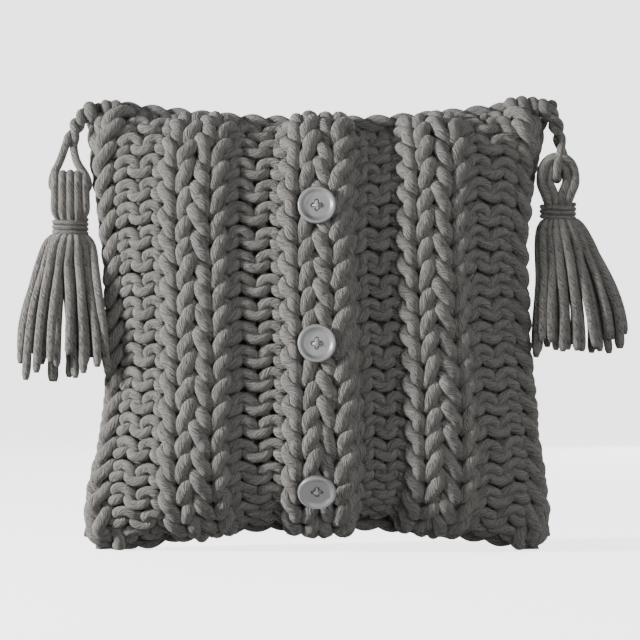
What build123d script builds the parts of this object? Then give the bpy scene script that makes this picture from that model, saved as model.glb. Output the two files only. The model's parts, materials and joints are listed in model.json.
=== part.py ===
"""Square throw pillow with a chunky rib-knit cover, a three-button placket and two corner tassels.

Millimetres. +Z is up, the buttoned front faces -Y, and the origin is under the middle of the
object's box, on the surface that the two lower corners stand on.
"""
from build123d import *
from math import cos, radians, sin, tan
import os

# Cover outline: an 18 inch square whose sides pull in between its corners
HALF_WIDTH = 242.0
HALF_HEIGHT = 232.0
SIDE_PULL = 29.5
END_PULL = 24.0
CORNER_TRIM = 0.035
CORNER_POWER = 8
# The right side is pulled in a little more than the left, and higher up
SKEW_WIDTH = -1.0
SKEW_PULL = 1.5
WAIST_HEIGHT = 0.1
SKEW_WAIST = 0.2

# Bulge of the faces
HALF_DEPTH = 92.0
FULLNESS = 0.5
SAG = 0.1
GRID_STEPS = 24

# Layers, as levels measured outwards from the outside of the knit
KNIT_THICK = 12.0
TICKING_THICK = 1.2
GAP = 0.3
COVER_OUT = 0.0
COVER_IN = COVER_OUT - KNIT_THICK
TICKING_OUT = COVER_IN - GAP
TICKING_IN = TICKING_OUT - TICKING_THICK
FILLING_OUT = TICKING_IN - GAP
BAND_IN = COVER_OUT + GAP
BAND_OUT = BAND_IN + KNIT_THICK
BAND_END_OUT = 2.3

# Seams round the edge, and the flats that the lower corners stand on
SEAM_Y = 9.0
SEAM_HALF = 1.7
SEAM_TOP_SHARE = 190.0
FOOT_CUT = 1.5
BEYOND = 400.0

# Placket: the left front's button band lies over the right front's underlap
BAND_LEFT = -38.0
BAND_RIGHT = 31.0
UNDERLAP_LEFT = -26.0

# Buttons: height of the centre, and how far the face looks down, in degrees
BUTTONS = {"top": (342.0, -10.0), "middle": (207.0, -2.0), "bottom": (64.0, 32.0)}
BUTTON_X = -2.0
BUTTON_R = 19.0
BUTTON_THICK = 5.2
BUTTON_LIFT = 3.2
BUTTON_EDGE_R = 1.2
DISH_R = 15.4
DISH_FLOOR_R = 14.4
DISH_DEPTH = 1.2
HOLE_R = 1.6
HOLE_RING_R = 3.6
THREAD_R = 1.0
COLLAR_R = 5.0
SHANK_R = 3.0
COLLAR_CLEAR = 1.0
SHANK_CLEAR = 3.4
BUTTONHOLE_WIDE = 9.0
BUTTONHOLE_HIGH = 30.0
BUTTONHOLE_DEEP = 40.0

# Tassels
YARN_R = 3.75
LOOP_HOLE_R = YARN_R + 0.55
HEAD_SECTIONS = [(-22.5, 16.5, 17.0), (-12.0, 17.0, 20.0), (-2.0, 13.0, 20.5), (8.0, 11.5, 19.0),
                 (16.0, 9.5, 15.0), (23.5, 4.0, 6.0)]
NECK_R = 14.2
WRAP_YARN_R = 2.3
WRAP_TURNS = 3
STRAND_R = 3.6
STRAND_PITCH = 7.5
STRAND_RINGS = 2
SKIRT_DROP = 2.4
SKIRT_LENGTH = 139.0
SKIRT_STAGGER = 24.0
SKIRT_STAGGER_STEP = 7
FLARE_ALONG = 3.0
FLARE_ACROSS = 1.9
FLARE_SHEAR = 1.0
BEND_SHARE = 0.45

CENTRE_Z = HALF_HEIGHT * (1 - CORNER_TRIM) - FOOT_CUT
SEAM_CLEAR = SEAM_HALF + GAP
LEFT_HOLE = (-248.0, -14.0, 355.0)
RIGHT_HOLE = (238.0, -19.0, 370.0)
LEFT_HEM_SHIFT = (-5.0, -16.0)
RIGHT_HEM_SHIFT = (18.0, -10.0)
TWIST_R = 5.8
TWIST_END_R = 4.3
LEFT_ROPE = [(-240, -3, 434), (-248.5, -5, 420), (-251, -8, 401)]
LEFT_LOOP = [(-242, -18, 387), (-231, -17, 373), (-229, -14, 355), (-267, -14, 355), (-265.5, -11, 373),
             (-258, -6, 387)]
LEFT_TWIST_BENDS = 5
RIGHT_ROPE = [(240.5, -2, 437), (244.5, -5, 424), (245, -8, 408)]
RIGHT_LOOP = [(243, -29, 395), (240, -36, 384), (238, -38, 370), (238, 0, 370), (240, -1, 384),
              (245, -4, 396)]
RIGHT_TWIST_BENDS = 4


def pull_in(t, waist):
    """Share of the full pull at height t: 1 at the waist, 0 at both corners."""
    reach = 1 - waist if t > waist else 1 + waist
    return 1 - ((t - waist) / reach) ** 2


def outline(s, t, level):
    """Place in the seam plane of the point s across and t up, both from -1 to 1."""
    ease = 1 - CORNER_TRIM * abs(s * t) ** CORNER_POWER
    pull = (SIDE_PULL + SKEW_PULL * s) * pull_in(t, WAIST_HEIGHT + SKEW_WAIST * s)
    x = s * ((HALF_WIDTH + SKEW_WIDTH * s + level) * ease - pull)
    z = t * ((HALF_HEIGHT + level) * ease - END_PULL * (1 - s * s))
    return x, CENTRE_Z + z


def crown(s, t):
    """How far the face stands out there, as a share of the half depth; it is fuller low down."""
    share = 1 - SAG * t
    for place in (s, t):
        share *= (1 - place * place) ** 0.5 * (1 + FULLNESS * place * place)
    return share


def skin(side, edge, rise, base):
    """One bulging face, from a plane beside the seam out to side (-1 front, 1 back)."""
    rows = []
    steps = [sin(radians(180 * i / GRID_STEPS - 90)) for i in range(GRID_STEPS + 1)]
    steps[0], steps[-1] = -1.0, 1.0
    for s in steps:
        row = []
        for t in steps:
            x, z = outline(s, t, edge)
            row.append((x, SEAM_Y + side * (base + (HALF_DEPTH + rise) * crown(s, t)), z))
        rows.append(row)
    return Face.make_surface_from_array_of_points(rows, tol=0.02, min_deg=3)


def dome(side, edge, rise, base):
    """The solid between one bulging face and the plane beside the seam."""
    outside = skin(side, edge, rise, base)
    return Solid(Shell([outside, Face(Wire(outside.edges()))]))


def layer(side, outer, inner, base):
    """The shell between two levels of one face."""
    return dome(side, outer, outer, base) - dome(side, inner, inner, base)


def between(x_low, x_high):
    """A block that holds everything between two planes across X."""
    return Pos((x_low + x_high) / 2, 0, CENTRE_Z) * Box(x_high - x_low, 2 * BEYOND, 2 * BEYOND)


def above(z_low):
    """A block that holds everything above a level plane."""
    return Pos(0, 0, z_low + BEYOND) * Box(2 * BEYOND, 2 * BEYOND, 2 * BEYOND)


def cover_left_front():
    """The left front panel; its last columns step up to lie over the underlap as the button band."""
    body = dome(-1, COVER_OUT, COVER_OUT, SEAM_CLEAR) & between(-BEYOND, BAND_LEFT)
    band = dome(-1, BAND_END_OUT, BAND_OUT, SEAM_CLEAR) & between(BAND_LEFT, BAND_RIGHT)
    under = dome(-1, BAND_IN, BAND_IN, SEAM_CLEAR) & between(UNDERLAP_LEFT - GAP, BEYOND)
    panel = (body + band - dome(-1, COVER_IN, COVER_IN, SEAM_CLEAR) - under) & above(0)
    for height, looks_down in BUTTONS.values():
        panel -= button_plane(height, looks_down) * buttonhole()
    return panel


def cover_right_front():
    """The right front panel; its edge columns carry on under the button band."""
    shell = layer(-1, COVER_OUT, COVER_IN, SEAM_CLEAR)
    return shell & between(UNDERLAP_LEFT, BEYOND) & above(0)


def cover_back():
    return layer(1, COVER_OUT, COVER_IN, SEAM_CLEAR) & above(0)


def seam_ring():
    """The line of sewing yarn between the front panels and the back, all the way round."""
    plates = []
    for level in (COVER_OUT, COVER_IN):
        base = dome(-1, level, level, SEAM_CLEAR).faces().sort_by(Axis.Y)[-1]
        plates.append(extrude(Pos(0, GAP, 0) * base, amount=2 * SEAM_HALF, dir=(0, 1, 0)))
    return (plates[0] - plates[1]) & above(0)


def seams():
    """The ring as four seams, each sewn with its own length of yarn."""
    ring = seam_ring()
    top = above(CENTRE_Z + SEAM_TOP_SHARE)
    not_bottom = above(CENTRE_Z - SEAM_TOP_SHARE)
    sides = (ring & not_bottom) - top
    return {
        "top_seam": ring & top,
        "bottom_seam": ring - not_bottom,
        "left_side_seam": sides & between(-BEYOND, 0),
        "right_side_seam": sides & between(0, BEYOND),
    }


def insert_parts():
    """The inner cushion: two ticking halves sewn together round a loose filling."""
    filling_front = skin(-1, FILLING_OUT, FILLING_OUT, 0)
    filling_back = mirror(filling_front, about=Plane(origin=(0, SEAM_Y, 0), z_dir=(0, 1, 0)))
    return {
        "insert_front": layer(-1, TICKING_OUT, TICKING_IN, GAP / 2),
        "insert_back": layer(1, TICKING_OUT, TICKING_IN, GAP / 2),
        "insert_filling": Solid(Shell([filling_front, filling_back])),
    }


def button_plane(height, looks_down):
    """Plane of a button's back, just off the band, with +Z out of the button's face."""
    t = (height - CENTRE_Z) / (HALF_HEIGHT + BAND_END_OUT - END_PULL)
    surface_y = SEAM_Y - SEAM_CLEAR - (HALF_DEPTH + BAND_OUT) * crown(0, t)
    out = Vector(0, -cos(radians(looks_down)), -sin(radians(looks_down)))
    origin = Vector(BUTTON_X, surface_y, height) + out * BUTTON_LIFT
    return Plane(origin=origin, x_dir=(1, 0, 0), z_dir=out)


def buttonhole():
    """The gap in the band that a button's shank passes through."""
    slot = SlotOverall(BUTTONHOLE_HIGH, BUTTONHOLE_WIDE, rotation=90)
    return extrude(slot, amount=BUTTONHOLE_DEEP, both=True)


def button():
    """A four-hole button with a raised rim and a shallow dish."""
    blank = Cylinder(BUTTON_R, BUTTON_THICK, align=(Align.CENTER, Align.CENTER, Align.MIN))
    blank = fillet(blank.edges(), BUTTON_EDGE_R)
    dish = Pos(0, 0, BUTTON_THICK - DISH_DEPTH / 2) * Cone(DISH_FLOOR_R, DISH_R, DISH_DEPTH)
    hole = PolarLocations(HOLE_RING_R, 4) * Cylinder(HOLE_R, 4 * BUTTON_THICK)
    return blank - dish - hole


def button_thread():
    """Sewing yarn: a cross on the face, four legs through the holes, and a shank to the underlap."""
    floor = BUTTON_THICK - DISH_DEPTH
    lift = THREAD_R + GAP / 2
    from_top = (Align.CENTER, Align.CENTER, Align.MAX)
    collar = Cylinder(COLLAR_R, BUTTON_LIFT - COLLAR_CLEAR, align=from_top)
    shank = Cylinder(SHANK_R, BUTTON_LIFT + BAND_OUT - SHANK_CLEAR, align=from_top)
    legs = PolarLocations(HOLE_RING_R, 4) * Cylinder(
        THREAD_R, floor + lift + 2 * GAP, align=(Align.CENTER, Align.CENTER, Align.MIN)
    )
    thread = Pos(0, 0, -GAP) * (collar + shank) + [Pos(0, 0, -2 * GAP) * leg for leg in legs]
    reach = 2 * (HOLE_RING_R + THREAD_R)
    for turn in (0, 90):
        thread += Pos(0, 0, floor + lift) * Rot(0, 0, turn) * Rot(0, 90, 0) * Cylinder(THREAD_R, reach)
    return thread


def winding(rope, bends, start_angle):
    """Corner points of one of the two strands that wind about a rope's line."""
    line = Spline(*[Vector(point) for point in rope])
    points = []
    for step in range(bends + 1):
        share = step / bends
        ahead = line % share
        across = ahead.cross(Vector(0, 1, 0)).normalized()
        over = across.cross(ahead)
        angle = radians(start_angle + (90 * step - 45 if step else 0))
        reach = TWIST_R if step else TWIST_END_R
        points.append(line @ share + reach * (across * cos(angle) + over * sin(angle)))
    return points


def hanger(rope, loop, bends):
    """One strand: down from the corner, through the tassel's head, and back up round itself."""
    points = winding(rope, bends, -90) + [Vector(point) for point in loop] + winding(rope, bends, 90)[::-1]
    radii = []
    for before, here, after in zip(points, points[1:], points[2:]):
        turn = (here - before).get_angle(after - here)
        run = min((here - before).length, (after - here).length)
        radii.append(BEND_SHARE * run / tan(radians(turn / 2)))
    print("hanger bend radii, mm:", [round(radius, 1) for radius in radii])
    path = FilletPolyline(*points, radius=radii)
    section = Plane(origin=path @ 0, z_dir=path % 0) * Circle(YARN_R)
    return sweep(section, path=path)


def tassel_head(hole, hole_along_x):
    """Strands folded over the hanger's loop, bulging, then gathered into a neck for the wrap."""
    sections = []
    for height, along, across in HEAD_SECTIONS:
        radii = (along, across) if hole_along_x else (across, along)
        sections.append(Plane.XY.offset(height) * Ellipse(*radii))
    bulge = loft(sections)
    wrap_height = 2 * WRAP_YARN_R * WRAP_TURNS + 2 * GAP
    neck = Pos(0, 0, HEAD_SECTIONS[0][0]) * Cylinder(
        NECK_R, wrap_height, align=(Align.CENTER, Align.CENTER, Align.MAX)
    )
    tunnel = (Rot(0, 90, 0) if hole_along_x else Rot(90, 0, 0)) * Cylinder(LOOP_HOLE_R, BEYOND)
    return Pos(*hole) * (bulge + neck - tunnel)


def tassel_wrap(hole):
    """Turns of yarn that bind the strands at the neck."""
    ring_r = NECK_R + GAP + WRAP_YARN_R
    turns = []
    for turn in range(WRAP_TURNS):
        drop = HEAD_SECTIONS[0][0] - GAP - WRAP_YARN_R * (2 * turn + 1)
        turns.append(Pos(hole[0], hole[1], hole[2] + drop) * Torus(ring_r, WRAP_YARN_R - GAP / 4))
    return Compound(turns)


def tassel_skirt(hole, shift, inward):
    """Straight strands fanning out below the wrap; inward is +1 where the pillow lies towards +X."""
    top_drop = HEAD_SECTIONS[0][0] - 2 * WRAP_YARN_R * WRAP_TURNS - SKIRT_DROP
    spots = [Vector(0, 0, 0)]
    for ring in range(1, STRAND_RINGS + 1):
        for step in range(6 * ring):
            spots.append(Vector(STRAND_PITCH * ring, 0, 0).rotate(Axis.Z, 60 * step / ring))
    strands = []
    for index, spot in enumerate(spots):
        share = (index * SKIRT_STAGGER_STEP % len(spots)) / len(spots)
        length = SKIRT_LENGTH - SKIRT_STAGGER * share
        start = Vector(*hole) + spot + Vector(0, 0, top_drop)
        hem = Vector(
            hole[0] + shift[0] + FLARE_ALONG * spot.X,
            hole[1] + shift[1] + FLARE_ACROSS * spot.Y - inward * FLARE_SHEAR * spot.X,
            hole[2] + top_drop - length,
        )
        plane = Plane(origin=start, z_dir=hem - start)
        strands.append(Solid.make_cylinder(STRAND_R, (hem - start).length, plane))
    return Compound(strands)


def all_parts():
    parts = {
        "cover_left_front": cover_left_front(),
        "cover_right_front": cover_right_front(),
        "cover_back": cover_back(),
    }
    parts.update(seams())
    parts.update(insert_parts())
    for name, (height, looks_down) in BUTTONS.items():
        plane = button_plane(height, looks_down)
        parts[name + "_button"] = plane * button()
        parts[name + "_button_thread"] = plane * button_thread()
    sides = {
        "left": (LEFT_HOLE, True, LEFT_HEM_SHIFT, 1, (LEFT_ROPE, LEFT_LOOP, LEFT_TWIST_BENDS)),
        "right": (RIGHT_HOLE, False, RIGHT_HEM_SHIFT, -1, (RIGHT_ROPE, RIGHT_LOOP, RIGHT_TWIST_BENDS)),
    }
    for name, (hole, hole_along_x, shift, inward, route) in sides.items():
        parts[name + "_tassel_hanger"] = hanger(*route)
        parts[name + "_tassel_head"] = tassel_head(hole, hole_along_x)
        parts[name + "_tassel_wrap"] = tassel_wrap(hole)
        parts[name + "_tassel_skirt"] = tassel_skirt(hole, shift, inward)
    return parts


os.makedirs("parts", exist_ok=True)
for node, shape in all_parts().items():
    export_step(shape, f"parts/{node}.step")
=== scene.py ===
"""Looks of the throw pillow: every stitch of its rib-knit cover, its insert, buttons and tassels.

A shape is worked out in millimetres, in the frame of the CAD model, and becomes metres in its mesh.
"""
import json
import math

import bpy
import numpy as np
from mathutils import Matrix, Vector, kdtree


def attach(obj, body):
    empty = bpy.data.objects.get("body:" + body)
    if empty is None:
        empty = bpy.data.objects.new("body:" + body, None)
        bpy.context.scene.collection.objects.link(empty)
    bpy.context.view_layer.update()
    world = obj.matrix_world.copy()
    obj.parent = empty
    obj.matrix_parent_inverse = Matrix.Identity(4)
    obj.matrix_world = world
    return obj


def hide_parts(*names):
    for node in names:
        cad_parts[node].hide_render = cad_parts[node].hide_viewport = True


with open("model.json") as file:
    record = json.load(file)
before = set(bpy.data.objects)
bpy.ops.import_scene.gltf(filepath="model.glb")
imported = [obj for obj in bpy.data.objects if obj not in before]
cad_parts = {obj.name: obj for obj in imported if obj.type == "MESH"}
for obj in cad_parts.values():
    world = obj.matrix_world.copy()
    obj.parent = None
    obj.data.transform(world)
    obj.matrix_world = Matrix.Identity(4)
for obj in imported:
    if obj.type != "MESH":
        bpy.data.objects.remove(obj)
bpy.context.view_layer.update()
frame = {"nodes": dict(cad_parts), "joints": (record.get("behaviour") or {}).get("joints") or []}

MM = 0.001
NODES = frame["nodes"]
JOINTS = {joint["name"]: joint for joint in frame["joints"]}

# The pillow's surface, as the CAD model has it
HALF_WIDTH = 242.0
HALF_HEIGHT = 232.0
SIDE_PULL = 29.5
END_PULL = 24.0
CORNER_TRIM = 0.035
CORNER_POWER = 8
SKEW_WIDTH = -1.0
SKEW_PULL = 1.5
WAIST_HEIGHT = 0.1
SKEW_WAIST = 0.2
HALF_DEPTH = 92.0
FULLNESS = 0.5
SAG = 0.1
SEAM_CLEAR = 2.0
FOOT_CUT = 1.5
SEAM_Y = 9.0
CENTRE_Z = HALF_HEIGHT * (1 - CORNER_TRIM) - FOOT_CUT
REST_Z = 0.4

# Knit yarn and fabric
YARN_R = 7.1
PURL_YARN_R = 5.1
TUBE_SIDES = 12
RING_STEP = 3.2
ROWS = 20
LAST_HEAD = 0.55
FABRIC_LEVEL = -12.0
RELIEF = {"K": 4.0, "P": -4.0, "D": -12.0, "B": 13.0, "U": -9.0, "E": 5.0}

PURLS = "PD"

# Half of a loop, from the top of its head down its leg to the middle of the sinker it shares with
# the next: across in column widths, up in row heights, out in millimetres. A purl faces the back.
KNIT_LOOP = np.array([
    (0.00, 1.50, -7.0), (0.16, 1.50, -7.0), (0.31, 1.46, -5.5), (0.415, 1.36, -0.5),
    (0.42, 1.20, 4.5), (0.34, 0.95, 7.0), (0.235, 0.68, 7.5), (0.145, 0.44, 6.0),
    (0.125, 0.25, 0.5), (0.20, 0.11, -5.0), (0.36, 0.03, -7.0), (0.50, 0.00, -7.0),
])
PURL_LOOP = np.array([
    (0.00, 1.60, 6.5), (0.14, 1.57, 7.0), (0.26, 1.44, 7.0), (0.335, 1.24, 5.0),
    (0.35, 1.04, -1.0), (0.32, 0.86, -6.0), (0.25, 0.66, -7.5), (0.18, 0.46, -5.0),
    (0.16, 0.28, 1.0), (0.23, 0.10, 5.5), (0.36, -0.04, 7.0), (0.50, -0.08, 6.5),
])

# Columns of stitches across a panel: relative width and kind (E edge, P purl,
# D purl drawn in beside the band, K knit, B band, U underlap)
LEFT_START, LEFT_END = -1.0, 0.12
LEFT_COLUMNS = [(18, "E"), (10.5, "P"), (10.5, "P"), (12, "K"), (12, "K"), (12.5, "P"), (12.5, "P"),
                (12, "B"), (12, "B")]
RIGHT_START, RIGHT_END = -0.075, 1.0
RIGHT_COLUMNS = [(12, "U"), (12, "U"), (9.5, "D"), (9.7, "D"), (12.3, "K"), (12.5, "K"), (11.5, "P"),
                 (11.5, "P"), (16.5, "E")]
BACK_COLUMNS = [(17, "E")] + [(12, kind) for kind in "PPKKPPKKPPKKPP"] + [(17, "E")]


def outline(s, t, level):
    ease = 1 - CORNER_TRIM * np.abs(s * t) ** CORNER_POWER
    waist = WAIST_HEIGHT + SKEW_WAIST * s
    reach = np.where(t > waist, 1 - waist, 1 + waist)
    pull = (SIDE_PULL + SKEW_PULL * s) * (1 - ((t - waist) / reach) ** 2)
    x = s * ((HALF_WIDTH + SKEW_WIDTH * s + level) * ease - pull)
    z = t * ((HALF_HEIGHT + level) * ease - END_PULL * (1 - s * s))
    return x, CENTRE_Z + z


def crown(s, t):
    share = 1 - SAG * t
    for place in (s, t):
        share = share * np.sqrt(np.maximum(1 - place * place, 0)) * (1 + FULLNESS * place * place)
    return share


def surface(side, s, t, level):
    """Points of one face, side -1 the front and 1 the back, at a level out from the cover's outside."""
    x, z = outline(s, t, level)
    y = SEAM_Y + side * (SEAM_CLEAR + (HALF_DEPTH + level) * crown(s, t))
    return np.stack([x, y + 0 * x, z], axis=-1)


def spaced(index, count):
    """A place from -1 to 1 for a grid index, closer together towards the seams."""
    return np.sin(np.radians(-90 + 180 * index / (count - 1)))


class Face:
    """One face of the pillow in cloth coordinates: a across and b up, both -1 to 1 by arc length."""

    FINE = 201
    COARSE = 141

    def __init__(self, side, level):
        index = np.arange(self.FINE)
        place = spaced(index, self.FINE)
        grid = surface(side, place[:, None], place[None, :], level)
        across = self.arc(grid, 0)
        want = np.linspace(-1, 1, self.COARSE)
        lines = np.stack([np.interp(want, across[:, j], index) for j in index], axis=1)
        self.points = np.zeros((self.COARSE, self.COARSE, 3))
        for k in range(self.COARSE):
            column = surface(side, spaced(lines[k], self.FINE), place, level)
            j = np.interp(want, self.arc(column[None], 1)[0], index)
            i = np.interp(j, index, lines[k])
            self.points[k] = surface(side, spaced(i, self.FINE), spaced(j, self.FINE), level)
        along, upward = np.gradient(self.points, axis=0), np.gradient(self.points, axis=1)
        normal = np.cross(along, upward) * -side
        normal[[0, -1]] = normal[[1, -2]]
        normal[:, [0, -1]] = normal[:, [1, -2]]
        self.normals = normal / np.linalg.norm(normal, axis=-1, keepdims=True)

    @staticmethod
    def arc(grid, axis):
        """Arc length along an axis of a grid of points, scaled to run from -1 to 1."""
        step = np.linalg.norm(np.diff(grid, axis=axis), axis=-1)
        total = np.concatenate([0 * np.take(step, [0], axis=axis), np.cumsum(step, axis=axis)], axis=axis)
        return 2 * total / np.take(total, [-1], axis=axis) - 1

    def at(self, a, b):
        """Points and outward normals at cloth coordinates."""
        size = self.COARSE - 1
        fa = np.clip((a + 1) / 2 * size, 0, size - 1e-6)
        fb = np.clip((b + 1) / 2 * size, 0, size - 1e-6)
        i, j = fa.astype(int), fb.astype(int)
        u, v = (fa - i)[:, None], (fb - j)[:, None]
        found = []
        for grid in (self.points, self.normals):
            low = grid[i, j] * (1 - v) + grid[i, j + 1] * v
            high = grid[i + 1, j] * (1 - v) + grid[i + 1, j + 1] * v
            found.append(low * (1 - u) + high * u)
        points, normals = found
        return points, normals / np.linalg.norm(normals, axis=1, keepdims=True)


def smooth_path(points, step):
    """A curve through the points, sampled at an even step."""
    points = np.asarray(points, float)
    padded = np.vstack([2 * points[0] - points[1], points, 2 * points[-1] - points[-2]])
    share = np.linspace(0, 1, 7)[:-1, None, None]
    p0, p1, p2, p3 = (padded[None, i:len(padded) - 3 + i] for i in range(4))
    curve = 0.5 * (2 * p1 + (p2 - p0) * share + (2 * p0 - 5 * p1 + 4 * p2 - p3) * share ** 2
                   + (3 * p1 - p0 - 3 * p2 + p3) * share ** 3)
    curve = np.vstack([curve.transpose(1, 0, 2).reshape(-1, points.shape[1]), points[-1:]])
    length = lengths(curve[:, :3])
    want = np.linspace(0, length[-1], max(3, int(length[-1] / step) + 1))
    return np.stack([np.interp(want, length, values) for values in curve.T], axis=1)


def lengths(path):
    return np.concatenate([[0], np.cumsum(np.linalg.norm(np.diff(path, axis=0), axis=1))])


def tube(path, radius, sides):
    """Rings of a round tube along a path, in frames that don't twist: points, faces and loop UVs."""
    count = len(path)
    ahead = np.gradient(path, axis=0)
    ahead /= np.linalg.norm(ahead, axis=1, keepdims=True)
    side = np.zeros_like(path)
    side[0] = np.cross(ahead[0], (0.3, 0.5, 0.81))
    side[0] /= np.linalg.norm(side[0])
    for i in range(1, count):
        side[i] = side[i - 1] - ahead[i] * np.dot(side[i - 1], ahead[i])
        side[i] /= np.linalg.norm(side[i])
    over = np.cross(ahead, side)
    angle = 2 * np.pi * np.arange(sides) / sides
    ring = side[:, None] * np.cos(angle)[:, None] + over[:, None] * np.sin(angle)[:, None]
    radius = np.broadcast_to(radius, (count,))
    points = (path[:, None] + ring * radius[:, None, None]).reshape(-1, 3)
    i, k = np.meshgrid(np.arange(count - 1), np.arange(sides), indexing="ij")
    low, high, following = i * sides, (i + 1) * sides, (k + 1) % sides
    faces = np.stack([low + k, low + following, high + following, high + k], axis=-1).reshape(-1, 4)
    length = lengths(path)
    u0, u1, v0, v1 = k / sides, (k + 1) / sides, length[i], length[i + 1]
    uvs = np.stack([u0, v0, u1, v0, u1, v1, u0, v1], axis=-1).reshape(-1, 2)
    return points, faces, uvs


class Yarn:
    """Collects strands and makes one mesh object of them."""

    def __init__(self):
        self.points, self.faces, self.uvs, self.tints, self.count = [], [], [], [], 0

    def add(self, path, radius, tint=0.5, sides=TUBE_SIDES):
        points, faces, uvs = tube(path, radius, sides)
        ring = np.arange(sides)
        self.points.append(points)
        self.faces.extend((faces + self.count).tolist())
        self.faces.extend([(ring[::-1] + self.count).tolist(),
                           (len(points) - sides + ring + self.count).tolist()])
        self.uvs.append(np.vstack([uvs, np.tile([0.5, 0.0], (2 * sides, 1))]))
        self.tints.append(np.full(len(uvs) + 2 * sides, tint))
        self.count += len(points)

    def mesh(self, name, material):
        points = np.vstack(self.points)
        points[:, 2] = np.maximum(points[:, 2], REST_Z)
        data = bpy.data.meshes.new(name)
        data.from_pydata((points * MM).tolist(), [], self.faces)
        layer = data.uv_layers.new(name="yarn")
        layer.data.foreach_set("uv", (np.vstack(self.uvs) * (1, MM)).ravel())
        tint = data.attributes.new("tint", "FLOAT", "CORNER")
        tint.data.foreach_set("value", np.concatenate(self.tints))
        data.polygons.foreach_set("use_smooth", [True] * len(data.polygons))
        return place_mesh(name, data, material)


def place_mesh(name, data, material):
    data.materials.append(material)
    data.update()
    piece = bpy.data.objects.new(name, data)
    bpy.context.scene.collection.objects.link(piece)
    return piece


# Materials

END_LENGTH = 0.011


def base_material(name, roughness):
    material = bpy.data.materials.new(name)
    material.use_nodes = True
    tree = material.node_tree
    shader = tree.nodes["Principled BSDF"]
    shader.inputs["Roughness"].default_value = roughness
    return material, tree, shader


def node(tree, kind, settings=(), **inputs):
    made = tree.nodes.new(kind)
    for name, value in settings:
        setattr(made, name, value)
    for name, value in inputs.items():
        made.inputs[name].default_value = value
    return made


def math_node(tree, operation, first, second=None):
    made = tree.nodes.new("ShaderNodeMath")
    made.operation = operation
    for index, value in enumerate((first, second)):
        if isinstance(value, (int, float)):
            made.inputs[index].default_value = value
        elif value is not None:
            tree.links.new(value, made.inputs[index])
    return made.outputs[0]


def yarn_material(name, dark, light, ends=2.0, twist=150.0, plies=17.0):
    """Soft cord of many fine ends: ridges along the yarn, a slow twist, and loose fibres across it."""
    material, tree, shader = base_material(name, 0.88)
    links = tree.links
    shader.inputs["Sheen Weight"].default_value = 0.25
    shader.inputs["Sheen Roughness"].default_value = 0.6
    shader.inputs["Specular IOR Level"].default_value = 0.25
    place = node(tree, "ShaderNodeUVMap", [("uv_map", "yarn")])
    split = tree.nodes.new("ShaderNodeSeparateXYZ")
    links.new(place.outputs["UV"], split.inputs[0])
    around, along = split.outputs["X"], split.outputs["Y"]
    where = tree.nodes.new("ShaderNodeTexCoord").outputs["Object"]

    turn = math_node(tree, "MULTIPLY", around, 2 * math.pi)
    turn = math_node(tree, "ADD", turn, math_node(tree, "MULTIPLY", along, twist))
    rolled = tree.nodes.new("ShaderNodeCombineXYZ")
    links.new(math_node(tree, "MULTIPLY", math_node(tree, "COSINE", turn), ends), rolled.inputs["X"])
    links.new(math_node(tree, "MULTIPLY", math_node(tree, "SINE", turn), ends), rolled.inputs["Y"])
    links.new(math_node(tree, "MULTIPLY", along, 1 / END_LENGTH), rolled.inputs["Z"])
    strands = node(tree, "ShaderNodeTexNoise", Scale=1.0, Detail=1.0, Roughness=0.5)
    links.new(rolled.outputs["Vector"], strands.inputs["Vector"])
    waver = math_node(tree, "MULTIPLY", strands.outputs["Fac"], 3.0 * math.pi)
    wave = math_node(tree, "ADD", math_node(tree, "MULTIPLY", turn, 0.5 * plies), waver)
    ridge = math_node(tree, "ABSOLUTE", math_node(tree, "SINE", wave))

    fibre = node(tree, "ShaderNodeTexNoise", Scale=800.0, Detail=2.0, Roughness=0.7)
    links.new(where, fibre.inputs["Vector"])
    slub = node(tree, "ShaderNodeTexNoise", Scale=45.0, Detail=3.0)
    links.new(where, slub.inputs["Vector"])

    height = math_node(tree, "ADD", math_node(tree, "MULTIPLY", ridge, 0.9),
                       math_node(tree, "MULTIPLY", fibre.outputs["Fac"], 1.8))
    bump = node(tree, "ShaderNodeBump", Strength=1.0, Distance=0.0015)
    links.new(height, bump.inputs["Height"])
    links.new(bump.outputs["Normal"], shader.inputs["Normal"])

    tone = math_node(tree, "ADD", math_node(tree, "MULTIPLY", fibre.outputs["Fac"], 0.8),
                     math_node(tree, "MULTIPLY", slub.outputs["Fac"], 0.2))
    # The grooves between the ridges are coloured darker: painted shade between the plies.
    tone = math_node(tree, "ADD", tone, math_node(tree, "MULTIPLY", ridge, 0.45))
    ramp = tree.nodes.new("ShaderNodeValToRGB")
    ramp.color_ramp.elements[0].position = 0.51
    ramp.color_ramp.elements[0].color = (*dark, 1)
    ramp.color_ramp.elements[1].position = 0.95
    ramp.color_ramp.elements[1].color = (*light, 1)
    links.new(tone, ramp.inputs["Fac"])
    links.new(ramp.outputs["Color"], shader.inputs["Base Color"])
    return material


def cloth_material(name, dark, light, threads):
    """Plain closely woven cotton."""
    material, tree, shader = base_material(name, 0.9)
    links = tree.links
    shader.inputs["Sheen Weight"].default_value = 0.2
    where = tree.nodes.new("ShaderNodeTexCoord").outputs["Object"]
    heights = []
    for axis in ("X", "Z"):
        wave = node(tree, "ShaderNodeTexWave", [("bands_direction", axis)], Scale=threads, Distortion=0.6)
        links.new(where, wave.inputs["Vector"])
        heights.append(wave.outputs["Fac"])
    weave = math_node(tree, "MULTIPLY", heights[0], heights[1])
    ramp = tree.nodes.new("ShaderNodeValToRGB")
    ramp.color_ramp.elements[0].color = (*dark, 1)
    ramp.color_ramp.elements[1].color = (*light, 1)
    links.new(weave, ramp.inputs["Fac"])
    links.new(ramp.outputs["Color"], shader.inputs["Base Color"])
    bump = node(tree, "ShaderNodeBump", Strength=0.5, Distance=0.0003)
    links.new(weave, bump.inputs["Height"])
    links.new(bump.outputs["Normal"], shader.inputs["Normal"])
    return material


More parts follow.
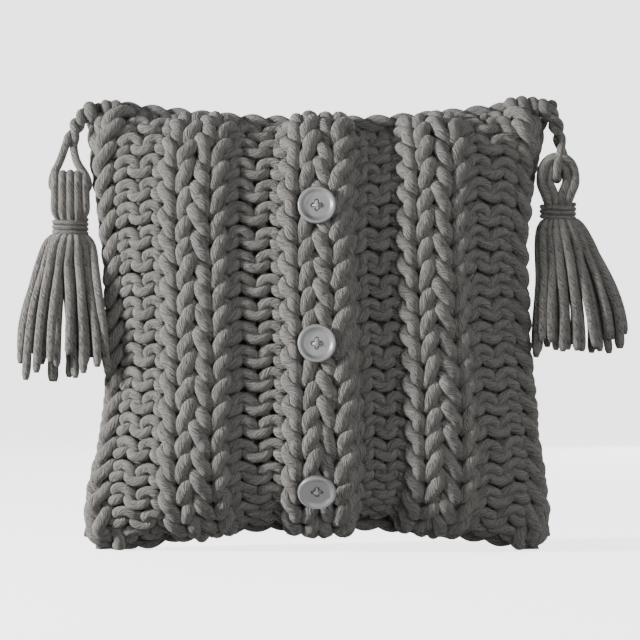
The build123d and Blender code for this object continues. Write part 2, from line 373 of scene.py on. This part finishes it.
def button_material():
    """Satin grey moulded button with faint clouding and fine wear."""
    material, tree, shader = base_material("button_look", 0.38)
    links = tree.links
    shader.inputs["Specular IOR Level"].default_value = 0.45
    shader.inputs["Coat Weight"].default_value = 0.15
    shader.inputs["Coat Roughness"].default_value = 0.3
    where = tree.nodes.new("ShaderNodeTexCoord").outputs["Object"]
    cloud = node(tree, "ShaderNodeTexNoise", Scale=120.0, Detail=4.0)
    links.new(where, cloud.inputs["Vector"])
    ramp = tree.nodes.new("ShaderNodeValToRGB")
    ramp.color_ramp.elements[0].color = (0.105, 0.105, 0.105, 1)
    ramp.color_ramp.elements[1].color = (0.132, 0.132, 0.132, 1)
    links.new(cloud.outputs["Fac"], ramp.inputs["Fac"])
    links.new(ramp.outputs["Color"], shader.inputs["Base Color"])
    grain = node(tree, "ShaderNodeTexNoise", Scale=2600.0, Detail=2.0)
    links.new(where, grain.inputs["Vector"])
    bump = node(tree, "ShaderNodeBump", Strength=0.12, Distance=0.0002)
    links.new(grain.outputs["Fac"], bump.inputs["Height"])
    links.new(bump.outputs["Normal"], shader.inputs["Normal"])
    return material


COVER_LOOK = yarn_material("cover_yarn_look", (0.015, 0.0136, 0.0118), (0.180, 0.1646, 0.144))
# The seam yarn is the cover yarn's colour made darker: painted shade along the pillow's edges.
SEAM_SHADED_LOOK = yarn_material("seam_yarn_painted_shade_look", (0.016, 0.0145, 0.0124), (0.107, 0.0983, 0.087))
TASSEL_LOOK = yarn_material("tassel_yarn_look", (0.019, 0.0172, 0.015), (0.182, 0.1667, 0.146), 1.5, 160.0, 9.0)
# The ticking's near-black colour darkens the gaps of the knit.
TICKING_LOOK = cloth_material("ticking_look", (0.012, 0.012, 0.012), (0.03, 0.029, 0.028), 900.0)
BUTTON_LOOK = button_material()
THREAD_LOOK = yarn_material("button_thread_look", (0.3, 0.3, 0.3), (0.62, 0.62, 0.61), 0.8, 900.0, 3.0)


# Camera level with the pillow's middle, square to its front

CAMERA_DISTANCE = 5.0
VIEW_WIDTH = 0.640
camera_data = bpy.data.cameras.new("camera")
camera_data.sensor_width = 36.0
camera_data.lens = 36.0 * CAMERA_DISTANCE / VIEW_WIDTH
camera = bpy.data.objects.new("camera", camera_data)
camera.location = (0.001, -CAMERA_DISTANCE, 0.230)
camera.rotation_euler = (math.pi / 2, 0, 0)
bpy.context.scene.collection.objects.link(camera)
bpy.context.scene.camera = camera


# Hangers: one free cord each, out of the corner, twisted on itself, round the tassel's head and back

HANGER_R = 4.1
TWIST_R = 4.1
LEFT_ROPE = [(-231, -2.5, 439), (-237.5, -4, 432), (-244.5, -6, 420), (-249.5, -9.5, 403)]
LEFT_LOOP = [(-242, -17, 387), (-232, -17, 374), (-229, -14.5, 362), (-236, -14, 358), (-260, -14, 358),
             (-267, -14, 363), (-265, -11, 376), (-259, -7, 387)]
LEFT_TURNS = 1.35
RIGHT_ROPE = [(228.5, -4, 442), (233, -5, 434), (238, -7, 421), (240.5, -9, 408)]
RIGHT_LOOP = [(240, -28, 396), (237, -36.5, 385), (236, -36, 373), (237, -19, 369), (239, -3, 372),
              (243, -0.5, 384), (246, -3, 395)]
RIGHT_TURNS = 1.15


def nurbs_line(points):
    """The points that Blender gives for an open spline with these control points, in millimetres."""
    curve = bpy.data.curves.new("route", "CURVE")
    curve.dimensions = "3D"
    curve.resolution_u = 8
    spline = curve.splines.new("NURBS")
    spline.points.add(len(points) - 1)
    for point, place in zip(spline.points, points):
        point.co = (*place, 1)
    spline.order_u = 3
    spline.use_endpoint_u = True
    made = bpy.data.objects.new("route", curve)
    bpy.context.scene.collection.objects.link(made)
    bpy.context.view_layer.update()
    line = bpy.data.meshes.new_from_object(made)
    found = np.array([v.co for v in line.vertices])
    bpy.data.objects.remove(made)
    bpy.data.curves.remove(curve)
    bpy.data.meshes.remove(line)
    return found


def hanger_route(rope, loop, turns):
    """Both legs wind round the rope's line, and the loop joins their lower ends."""
    line = nurbs_line(rope)[::2]
    ahead = np.gradient(line, axis=0)
    ahead /= np.linalg.norm(ahead, axis=1, keepdims=True)
    across = np.cross(ahead, (0, 1, 0))
    across /= np.linalg.norm(across, axis=1, keepdims=True)
    over = np.cross(across, ahead)
    angle = (2 * math.pi * turns * np.linspace(0, 1, len(line)) - 0.5 * math.pi)[:, None]
    swing = TWIST_R * (np.cos(angle) * across + np.sin(angle) * over)
    return [*(line + swing), *np.array(loop, float), *(line - swing)[::-1]]


for side, rope, loop, turns in (("left", LEFT_ROPE, LEFT_LOOP, LEFT_TURNS),
                                ("right", RIGHT_ROPE, RIGHT_LOOP, RIGHT_TURNS)):
    route = hanger_route(rope, loop, turns)
    path = nurbs_line(route)
    yarn = Yarn()
    yarn.add(smooth_path(path, 1.5), HANGER_R, sides=14)
    hanger = yarn.mesh(side + "_hanger_cord", TASSEL_LOOK)
    length = lengths(path)[-1] * MM
    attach(hanger, side + "_hanger")
    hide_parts(side + "_tassel_hanger")


# Knit panels

BUTTON_PULL = 5.0
TASSEL_DENT = (226.0, -6.0, 388.0)
ARCH_MIDDLE = 20.0
ARCH_HALF = 190.0
ARCH_HIGH = 110.0
ARCH_RISE = 10.0
LEFT_SAG = 6.0
SOFTNESS = 0.86


def settled(points):
    """The pillow at rest: its lower edge arches clear of the floor, and its left side sags outwards."""
    x, z = points[:, 0], points[:, 2]
    reach = np.clip(1 - ((x - ARCH_MIDDLE) / ARCH_HALF) ** 2, 0, 1) ** 0.6
    left = np.clip((-x - 150.0) / 70.0, 0, 1)
    moved = points.copy()
    moved[:, 0] -= LEFT_SAG * left * np.exp(-((z - 55.0) / 45.0) ** 2)
    moved[:, 2] += ARCH_RISE * reach * np.clip(1 - z / ARCH_HIGH, 0, 1) ** 1.5
    return moved


def stitch_edges(start, end, columns):
    widths = np.array([width for width, _ in columns], float)
    return np.concatenate([[start], start + (end - start) * np.cumsum(widths) / widths.sum()])


def relief_at(a, edges, columns):
    """How far the fabric stands out across a panel: each column's own height, blended between."""
    places = np.stack([edges[:-1] * 0.75 + edges[1:] * 0.25, edges[:-1] * 0.25 + edges[1:] * 0.75], axis=1)
    return np.interp(a, places.ravel(), np.repeat([RELIEF[kind] for _, kind in columns], 2))


def stitch_points(columns, index, seam_side):
    """One stitch, left to right: across -0.5 to 0.5 from its column's middle, up, and out."""
    kind = columns[index][1]
    half = PURL_LOOP if kind in PURLS else KNIT_LOOP
    points = []
    for mirror, order in ((-1, half[::-1]), (1, half[1:])):
        for across, up, out in order:
            at_sinker = across == 0.5
            if at_sinker:
                other = index + mirror
                if not 0 <= other < len(columns):
                    continue
                if (columns[other][1] in PURLS) != (kind in PURLS):
                    out = 0.0
                elif mirror < 0:
                    continue
            if at_sinker and mirror < 0 and index > 0:
                continue
            if kind == "E" and mirror == seam_side:
                across, out = across * 0.6, out - 8.0
            points.append((mirror * across, up, out))
    return points


def knit_path(face, start, end, columns, rows, seed, seam_sides):
    """The yarn of a panel, row by row in turn to the right and to the left: cloth places and heights."""
    random = np.random.default_rng(seed)
    edges = stitch_edges(start, end, columns)
    track = []
    for row in rows:
        line = []
        for index in range(len(columns)):
            width = edges[index + 1] - edges[index]
            slack = random.normal(0, 1, 5)
            lean = 0.02 * slack[0]
            for across, up, out in stitch_points(columns, index, seam_sides.get(index)):
                a = edges[index] + width * (0.5 + across * (1 + 0.04 * slack[1]) + lean * (1 - abs(across)))
                rise = row + up + 0.035 * slack[2] * (up > 0.3) + 0.02 * slack[3]
                line.append((a, -1 + 2 * rise / (ROWS + LAST_HEAD), out + 0.5 * slack[4]))
        track.extend(line if row % 2 == 0 else line[::-1])
    a, b, out = np.array(track).T
    points, normals = face.at(a, b)
    radii = np.array([PURL_YARN_R if kind in PURLS else YARN_R for _, kind in columns])
    radius = np.interp(a, (edges[1:] + edges[:-1]) / 2, radii)
    relief = relief_at(a, edges, columns)
    relief = np.where(relief > 0, relief * (0.1 + 0.9 * np.clip((1 - np.abs(b)) / 0.14, 0, 1)), relief)
    return np.column_stack([settled(points + normals * (out + relief)[:, None]), radius])


def relax(path, radius, rounds=12):
    """Pushes yarn out of yarn where loops lie in each other, as soft cord settles."""
    reach = 2 * radius.max() + 3.0
    tree = kdtree.KDTree(len(path))
    for index, point in enumerate(path):
        tree.insert(point, index)
    tree.balance()
    pairs = []
    for index, point in enumerate(path):
        pairs.extend((index, other) for _, other, _ in tree.find_range(point, reach) if other > index + 5)
    first, second = np.array(pairs).T
    near = SOFTNESS * (radius[first] + radius[second])
    moved = path.copy()
    for _ in range(rounds):
        gap = moved[second] - moved[first]
        apart = np.maximum(np.linalg.norm(gap, axis=1), 0.5)
        push = gap * (np.maximum(near - apart, 0) / apart * 0.25)[:, None]
        shift = np.zeros_like(moved)
        np.add.at(shift, first, -push)
        np.add.at(shift, second, push)
        size = np.linalg.norm(shift, axis=1, keepdims=True)
        moved += shift * np.minimum(1, 1.2 / np.maximum(size, 1e-6))
        moved[1:-1] += 0.12 * (moved[:-2] + moved[2:] - 2 * moved[1:-1])
        moved += 0.04 * (path - moved)
    return moved


def part_round_buttons(path):
    """Yarn gives way to each button's shank, and is pulled in beneath its disc."""
    for joint in JOINTS.values():
        if "button" not in joint["name"]:
            continue
        centre = np.array(joint["pos_m"]) / MM
        across, up = path[:, 0] - centre[0], path[:, 2] - centre[2]
        share = np.exp(-(across ** 2 + up ** 2) / 20.0 ** 2) * (path[:, 1] < 0)
        path[:, 1] += BUTTON_PULL * share
        below = np.exp(-(across / 12.0) ** 2 - ((up + 16.0) / 16.0) ** 2) * (path[:, 1] < 0)
        path[:, 0] += 3.0 * below * np.tanh(across / 4.0)
    return path


def part_round_tassel(path):
    """Yarn gives way behind the right tassel's head, which swings back there."""
    share = np.exp(-np.sum((path[:, :3] - TASSEL_DENT) ** 2, axis=1) / 30.0 ** 2)
    path[:, :3] += np.array([-7.5, 8.0, 0.0]) * share[:, None]
    return path


def knit_panel(name, face, layout, rows, seed, seam_sides, node_name=None, part=None):
    path = knit_path(face, *layout, rows, seed, seam_sides)
    if part:
        path = part(path)
    path = smooth_path(path, RING_STEP)
    path, radius = path[:, :3], path[:, 3]
    path = relax(path, radius)
    yarn = Yarn()
    yarn.add(path, radius)
    piece = yarn.mesh(name, COVER_LOOK)
    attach(piece, "pillow")
    if node_name:
        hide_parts(node_name)
    return piece


front_face = Face(-1, FABRIC_LEVEL)
back_face = Face(1, FABRIC_LEVEL)
LAST_LEFT, LAST_RIGHT = len(LEFT_COLUMNS) - 1, len(RIGHT_COLUMNS) - 1
knit_panel("left_front_knit", front_face, (LEFT_START, LEFT_END, LEFT_COLUMNS), range(ROWS), 11,
           {0: -1}, "cover_left_front", part_round_buttons)
knit_panel("right_front_knit", front_face, (RIGHT_START, RIGHT_END, RIGHT_COLUMNS), range(ROWS), 12,
           {LAST_RIGHT: 1}, "cover_right_front", part_round_tassel)
back_sides = {0: -1, len(BACK_COLUMNS) - 1: 1}
knit_panel("lower_back_knit", back_face, (-1.0, 1.0, BACK_COLUMNS), range(ROWS // 2), 13,
           back_sides, "cover_back")
knit_panel("upper_back_knit", back_face, (-1.0, 1.0, BACK_COLUMNS), range(ROWS // 2, ROWS), 14, back_sides)


# Seams: chunky twisted bind-off along the top and bottom, and the joining yarn down the sides

def twisted_pair(line, radius, spread, pitch, phase=0.0):
    """Two strands that wind about a line, each one's centreline."""
    line = smooth_path(line, 2.5)
    along = lengths(line)
    ahead = np.gradient(line, axis=0)
    ahead /= np.linalg.norm(ahead, axis=1, keepdims=True)
    side = np.cross(ahead, (0, 1, 0))
    side /= np.linalg.norm(side, axis=1, keepdims=True)
    over = np.cross(ahead, side)
    strands = []
    for start in (0, math.pi):
        angle = (2 * math.pi * along / pitch + start + phase)[:, None]
        strands.append(line + spread * (np.cos(angle) * side + np.sin(angle) * over))
    return strands


SEAM_BACK = {"top": 3.5, "bottom": 0.0, "left": 7.0, "right": 7.0}


# The end stitches of the bind-off, gathered into a knot at each top corner: middle, width and turns
CORNER_KNOTS = [((-226, 0, 437), 12.0, 1.25), ((-206, 3, 438), 20.0, 2.0),
                ((204, 3, 442), 30.0, 2.75), ((227, 0, 440), 12.0, 1.25)]


def coil(middle, wide, turns):
    share = np.linspace(0, 1, int(24 * turns))
    angle = 2 * math.pi * turns * share
    reach = 6.8 * np.sin(math.pi * (0.18 + 0.64 * share)) ** 0.7
    return np.stack([middle[0] + wide * (share - 0.5), middle[1] + reach * 1.2 * np.cos(angle),
                     middle[2] + reach * np.sin(angle)], axis=1)


def seam_line(kind, level):
    ends = {"top": 0.93, "bottom": 0.96, "left": 0.95, "right": 0.95}[kind]
    places = np.linspace(-ends, ends, 60)
    if kind in ("top", "bottom"):
        x, z = outline(places, np.full(60, 1.0 if kind == "top" else -1.0), level)
    else:
        x, z = outline(np.full(60, 1.0 if kind == "right" else -1.0), places, level)
    return settled(np.stack([x, np.full(60, SEAM_Y + SEAM_BACK[kind]), z], axis=1))


for kind, radius, spread, pitch, level in (("top", 5.6, 4.8, 50.0, -6.0), ("bottom", 5.4, 4.6, 54.0, -8.0),
                                           ("left", 3.4, 2.6, 40.0, -7.0), ("right", 3.4, 2.6, 40.0, -7.0)):
    yarn = Yarn()
    for strand in twisted_pair(seam_line(kind, level), radius, spread, pitch):
        yarn.add(strand, radius)
    if kind == "top":
        for knot in CORNER_KNOTS:
            yarn.add(coil(*knot), radius + 0.4)
    node_name = kind + ("_seam" if kind in ("top", "bottom") else "_side_seam")
    piece = yarn.mesh(node_name + "_yarn", SEAM_SHADED_LOOK)
    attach(piece, "pillow")
    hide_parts(node_name)


# Insert: a stuffed cushion, its ticking coloured near black so that the gaps of the knit look dark; it is seen
# only through them

def insert_cushion(level, rows=72):
    random = np.random.default_rng(5)
    place = spaced(np.arange(rows + 1), rows + 1)
    s, t = np.meshgrid(place, place, indexing="ij")
    ripples = sum(np.sin(random.uniform(4, 16) * s + random.uniform(4, 16) * t + random.uniform(0, 6))
                  for _ in range(8)) / 8
    points, faces = [], []
    for side in (-1, 1):
        sheet = surface(side, s, t, level)
        edge = (1 - s ** 4) * (1 - t ** 4)
        sheet[..., 1] += side * 1.5 * ripples * edge
        base = len(points) * (rows + 1) ** 2
        points.append(sheet.reshape(-1, 3))
        for i in range(rows):
            for j in range(rows):
                corner = base + i * (rows + 1) + j
                quad = (corner, corner + rows + 1, corner + rows + 2, corner + 1)
                faces.append(quad if side < 0 else quad[::-1])
    rim = [i * (rows + 1) + j for i, j in rim_places(rows)]
    back = (rows + 1) ** 2
    bridge = [(a, a + back, b + back, b) for a, b in zip(rim, rim[1:] + rim[:1])]
    data = bpy.data.meshes.new("insert_cushion")
    data.from_pydata((settled(np.vstack(points)) * MM).tolist(), [], faces + bridge)
    data.polygons.foreach_set("use_smooth", [True] * len(data.polygons))
    return place_mesh("insert_cushion", data, TICKING_LOOK)


def rim_places(rows):
    """Grid places round the edge of a square grid, in turn."""
    low = [(i, 0) for i in range(rows)]
    right = [(rows, j) for j in range(rows)]
    top = [(rows - i, rows) for i in range(rows)]
    left = [(0, rows - j) for j in range(rows)]
    return low + right + top + left


insert = insert_cushion(-26.0)
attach(insert, "pillow")
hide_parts("insert_front", "insert_back", "insert_filling")


# Tassels

STRAND_R = 4.3
WRAP_R = 2.35
WRAP_RING = 16.2
WRAP_TOP = -22.5
SKIRT_TOP = -37.0
HEM_FORWARD = 12.0


# Each head loop: its place along the hanger, half width, height, where the wrap holds it, half waist
HEAD_LOOPS = {
    "x": [(-14.8, 9.8, 19.6, (-11.0, 4.5), 8.5), (-7.5, 11.0, 20.6, (-6.2, 8.0), 10.0),
          (0.0, 11.3, 21.0, (0.0, 9.2), 10.5), (7.5, 11.0, 20.6, (6.2, 8.0), 10.0),
          (14.8, 9.8, 19.6, (11.0, 4.5), 8.5), (-9.0, 4.2, 13.5, (-4.5, 2.5), 3.8),
          (0.0, 4.4, 13.5, (0.0, 3.0), 4.0), (9.0, 4.2, 13.5, (4.5, 2.5), 3.8)],
    "y": [(-12.0, 16.6, 21.0, (-7.5, 8.5), 12.0), (-4.2, 17.2, 22.5, (-3.0, 10.5), 12.5),
          (4.2, 17.2, 22.5, (3.0, 10.5), 12.5), (12.0, 16.6, 21.0, (7.5, 8.5), 12.0),
          (-10.0, 8.6, 14.0, (-7.5, 3.4), 3.6), (-2.5, 8.8, 14.5, (-2.5, 3.6), 3.8),
          (6.0, 8.6, 14.0, (6.0, 3.4), 3.6)],
}


def loop_strand(across, reach, top, neck, waist):
    """Round a hanger: up one side, over at the top and down the other, in (across, depth, up)."""
    half = [(neck[0], neck[1], -41.0), (neck[0], neck[1], -27.0), (across, waist, -16.0),
            (across, reach, -3.0), (across, 0.88 * reach, 0.55 * top), (across, 0.48 * reach, 0.92 * top)]
    return half + [(across, 0.0, top)] + [(c, -d, h) for c, d, h in half[::-1]]


def gathered(path, radius, hole_z):
    """A strand's radius along it: squeezed where the wrap holds it."""
    up = path[:, 2] - hole_z
    return radius * (1 - 0.28 * np.exp(-((up + 30.0) / 10.0) ** 4))


def skirt_strand(random, start, end, long):
    """From under the wrap out and down to the hem: it spreads early and then hangs."""
    points = [(*start, SKIRT_TOP + 12.0), (*start, SKIRT_TOP + 6.0)]
    bend = random.normal(0, 1.6, 4)
    for step, share in enumerate(np.linspace(0, 1, 7)):
        spread = 1 - (1 - share) ** 1.9
        sway = np.sin(share * np.pi) * bend[0] + np.sin(2 * share * np.pi) * bend[1] * 0.8
        lean = np.sin(share * np.pi) * bend[2] + np.sin(2 * share * np.pi) * bend[3] * 0.8
        points.append((start[0] + (end[0] - start[0]) * spread + sway,
                       start[1] + (end[1] - start[1]) * spread + lean, SKIRT_TOP - long * share))
    return points


def spread_apart(paths, radius, rounds, fixed=4):
    """Moves strands sideways until they no longer lie in each other."""
    sizes = [len(path) for path in paths]
    moved = np.vstack(paths)
    owner = np.repeat(np.arange(len(paths)), sizes)
    order = np.concatenate([np.arange(size) for size in sizes])
    free = np.minimum(1, np.maximum(0, order - fixed) / 6.0)
    near = 2 * radius * 0.97
    for _ in range(rounds):
        tree = kdtree.KDTree(len(moved))
        for index, point in enumerate(moved):
            tree.insert(point, index)
        tree.balance()
        shift = np.zeros_like(moved)
        for index, point in enumerate(moved):
            for place, other, apart in tree.find_range(point, near):
                if other > index and owner[other] != owner[index]:
                    gap = moved[other] - point
                    gap[2] = 0
                    wide = max(np.linalg.norm(gap), 0.3)
                    push = gap / wide * (near - apart) * 0.25
                    shift[index] -= push
                    shift[other] += push
        moved += shift * free[:, None]
        for k in range(len(paths)):
            run = owner == k
            piece = moved[run]
            piece[1:-1] += 0.25 * (piece[:-2] + piece[2:] - 2 * piece[1:-1]) * free[run][1:-1, None]
            moved[run] = piece
    return [moved[owner == k] for k in range(len(paths))]


def blunt(count, radius):
    """A strand's radius along it, with a softly rounded cut end."""
    size = np.full(count, radius)
    size[-1] *= 0.55
    size[-2] *= 0.9
    return size


def tassel(side, hole, through, shift, spread, lean, lengths_of, seed):
    """A tassel about a hole: its looped head, its wrap and its skirt. through is the hole's own axis."""
    random = np.random.default_rng(seed)

    def placed(points):
        points = np.asarray(points, float)
        across, depth = points[:, 0], points[:, 1]
        x, y = (across, depth) if through == "x" else (depth, across)
        return np.stack([hole[0] + x, hole[1] + y, hole[2] + points[:, 2]], axis=1)

    head = Yarn()
    for across, reach, top, neck, waist in HEAD_LOOPS[through]:
        path = smooth_path(placed(loop_strand(across, reach, top, neck, waist)), 2.0)
        head.add(path, gathered(path, STRAND_R, hole[2]), sides=12)
    piece = head.mesh(side + "_head_strands", TASSEL_LOOK)
    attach(piece, side + "_tassel")
    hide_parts(side + "_tassel_head")

    turns = np.linspace(0, 3.15, 120)
    ring = np.stack([WRAP_RING * np.cos(2 * np.pi * turns), WRAP_RING * 0.86 * np.sin(2 * np.pi * turns),
                     WRAP_TOP - WRAP_R - 2 * WRAP_R * turns], axis=1)
    wrap = Yarn()
    wrap.add(ring + np.array(hole), WRAP_R, sides=10)
    piece = wrap.mesh(side + "_wrap_yarn", TASSEL_LOOK)
    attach(piece, side + "_tassel")
    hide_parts(side + "_tassel_wrap")

    paths = []
    for ring_radius, ring_spread, count, turn in ((9.6, 1.0, 17, 0.0), (5.2, 0.68, 12, 0.35), (1.0, 0.34, 5, 0.0)):
        for k in range(count):
            angle = 2 * math.pi * (k + random.uniform(-0.12, 0.12)) / count + turn
            across, depth = math.cos(angle), math.sin(angle)
            start = (ring_radius * across * 1.05, ring_radius * depth * 0.85)
            forward = HEM_FORWARD * ring_spread * max(-across * hole[0] / abs(hole[0]), 0) ** 2
            end = (shift[0] + spread[0] * ring_spread * across + lean * max(across, 0) ** 2,
                   shift[1] + spread[1] * ring_spread * depth - forward)
            long = random.uniform(*lengths_of) * (1 - 0.05 * ring_spread * max(across, 0) * (lean > 0))
            points = np.array(skirt_strand(random, start, end, long))
            paths.append(smooth_path(points + np.array(hole), 4.0))
    paths = spread_apart(paths, STRAND_R, 14)
    skirt = Yarn()
    for path in paths:
        skirt.add(path, gathered(path, blunt(len(path), STRAND_R), hole[2]), sides=12)
    piece = skirt.mesh(side + "_skirt_strands", TASSEL_LOOK)
    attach(piece, side + "_tassel")
    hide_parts(side + "_tassel_skirt")


tassel("left", (-248, -14, 355), "x", (-5, -16), (44, 27), 0.0, (122, 151), 21)
tassel("right", (238, -19, 370), "y", (14, -10), (38, 27), 14.0, (119, 141), 22)


# Buttons: moulded discs with a rounded rim, a dished middle and four holes, sewn with a thread cross

BUTTON_R = 19.0
BUTTON_PROFILE = [(0.0, 0.0), (17.4, 0.0), (18.5, 0.5), (19.0, 1.7), (19.0, 3.3), (18.7, 4.4), (18.0, 5.2),
                  (17.0, 5.5), (16.0, 5.3), (14.9, 4.6), (13.7, 3.6), (12.6, 3.0), (11.4, 2.75),
                  (7.0, 2.7), (0.0, 2.7)]
HOLE_RING = 3.9
HOLE_R = 2.1
THREAD_R = 0.72


def button_disc(name, frame_of):
    profile = [BUTTON_PROFILE[0]]
    for (r0, h0), (r1, h1) in zip(BUTTON_PROFILE, BUTTON_PROFILE[1:]):
        count = max(1, int(math.hypot(r1 - r0, h1 - h0) / 0.45))
        profile.extend((r0 + (r1 - r0) * k / count, h0 + (h1 - h0) * k / count) for k in range(1, count + 1))
    sides = 96
    points, faces = [], []
    for index, (radius, height) in enumerate(profile):
        for k in range(sides):
            angle = 2 * math.pi * k / sides
            x, y = radius * math.cos(angle), radius * math.sin(angle)
            deep = height
            if index > len(profile) / 2:
                for turn in range(4):
                    hole = math.hypot(x - HOLE_RING * math.cos(turn * math.pi / 2),
                                      y - HOLE_RING * math.sin(turn * math.pi / 2))
                    deep -= 2.9 * (1 - min(1, max(0, (hole - HOLE_R + 0.35) / 0.5)))
            points.append((x, y, deep))
            if index:
                low, high, following = (index - 1) * sides, index * sides, (k + 1) % sides
                faces.append((low + k, low + following, high + following, high + k))
    data = bpy.data.meshes.new(name)
    data.from_pydata((frame_of(np.array(points)) * MM).tolist(), [], faces)
    data.polygons.foreach_set("use_smooth", [True] * len(data.polygons))
    return place_mesh(name, data, BUTTON_LOOK)


def thread_cross(name, frame_of):
    yarn = Yarn()
    for turn in (0.0, math.pi / 2):
        for offset in (-0.8, 0.8):
            bow = [(-HOLE_RING, 0.3, -1.2), (-HOLE_RING, 0.4, 1.8), (-HOLE_RING * 0.75, 0.7, 3.2),
                   (0.0, 0.85, 4.0), (HOLE_RING * 0.75, 0.7, 3.2), (HOLE_RING, 0.4, 1.8), (HOLE_RING, 0.3, -1.2)]
            line = np.array([(x, y * offset, h + 0.5 * (turn > 0) * (abs(x) < 2)) for x, y, h in bow])
            cos, sin = math.cos(turn + 0.12), math.sin(turn + 0.12)
            line = np.stack([line[:, 0] * cos - line[:, 1] * sin, line[:, 0] * sin + line[:, 1] * cos,
                             line[:, 2]], axis=1)
            yarn.add(frame_of(smooth_path(line, 0.5)), THREAD_R, sides=10)
    shank = smooth_path([(0, 0, 0.5), (0.4, 0.2, -3), (-0.3, -0.2, -7), (0, 0, -12)], 1.0)
    yarn.add(frame_of(shank), 2.6, sides=12)
    return yarn.mesh(name, THREAD_LOOK)


for which in ("top", "middle", "bottom"):
    joint = JOINTS[which + "_button_turn"]
    origin = np.array(joint["pos_m"]) / MM
    out = np.array(joint["axis"], float)
    right = np.array([1.0, 0.0, 0.0])
    up = np.cross(out, right)
    turn = np.stack([right, up, out])

    def frame_of(points, turn=turn, origin=origin):
        return np.asarray(points) @ turn + origin

    disc = button_disc(which + "_button_disc", frame_of)
    thread = thread_cross(which + "_button_sewing", frame_of)
    for piece, node_name, slot_name in ((disc, which + "_button", "button"),
                                        (thread, which + "_button_thread", "button_thread")):
        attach(piece, which + "_button")
        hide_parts(node_name)


# Studio: a pale sweep of paper and soft light from the upper left and front

def area_light(name, place, target, size, power):
    data = bpy.data.lights.new(name, "AREA")
    data.size = size
    data.energy = power
    lamp = bpy.data.objects.new(name, data)
    lamp.location = place
    lamp.rotation_euler = (Vector(target) - Vector(place)).to_track_quat("-Z", "Y").to_euler()
    bpy.context.scene.collection.objects.link(lamp)


area_light("key", (-3.05, -1.0, 1.05), (0, 0, 0.22), 0.5, 385)
area_light("fill", (1.1, -3.5, 0.5), (0, 0, 0.22), 2.0, 118)
area_light("back", (1.5, 3.6, 0.9), (0, 0, 0.22), 2.0, 70)

world = bpy.data.worlds.new("studio")
world.use_nodes = True
world.node_tree.nodes["Background"].inputs["Color"].default_value = (0.9, 0.9, 0.9, 1)
world.node_tree.nodes["Background"].inputs["Strength"].default_value = 0.85
world.cycles_visibility.diffuse = False
world.cycles_visibility.glossy = False
bpy.context.scene.world = world

paper, paper_tree, paper_shader = base_material("paper_look", 0.95)
paper_shader.inputs["Base Color"].default_value = (0.7, 0.7, 0.7, 1)
paper_shader.inputs["Emission Color"].default_value = (1, 1, 1, 1)
paper_shader.inputs["Emission Strength"].default_value = 2.7
COVE_SIDES = 96
cove = [(2.0, 0.0), (5.5, 0.0)]
cove += [(5.5 + 1.5 * math.sin(a), 1.5 - 1.5 * math.cos(a)) for a in np.radians(range(6, 91, 6))]
cove += [(7.0, 8.0)]
places = [(r * math.cos(a), r * math.sin(a), z) for r, z in cove
          for a in 2 * math.pi * np.arange(COVE_SIDES) / COVE_SIDES]
quads = [(k * COVE_SIDES + i, (k + 1) * COVE_SIDES + i, (k + 1) * COVE_SIDES + (i + 1) % COVE_SIDES,
          k * COVE_SIDES + (i + 1) % COVE_SIDES) for k in range(len(cove) - 1) for i in range(COVE_SIDES)]
data = bpy.data.meshes.new("paper_cove")
data.from_pydata(places, [], [*quads, tuple(range(COVE_SIDES))])
data.polygons.foreach_set("use_smooth", [True] * len(data.polygons))
sheet = place_mesh("paper_cove", data, paper)
sheet.visible_diffuse = False
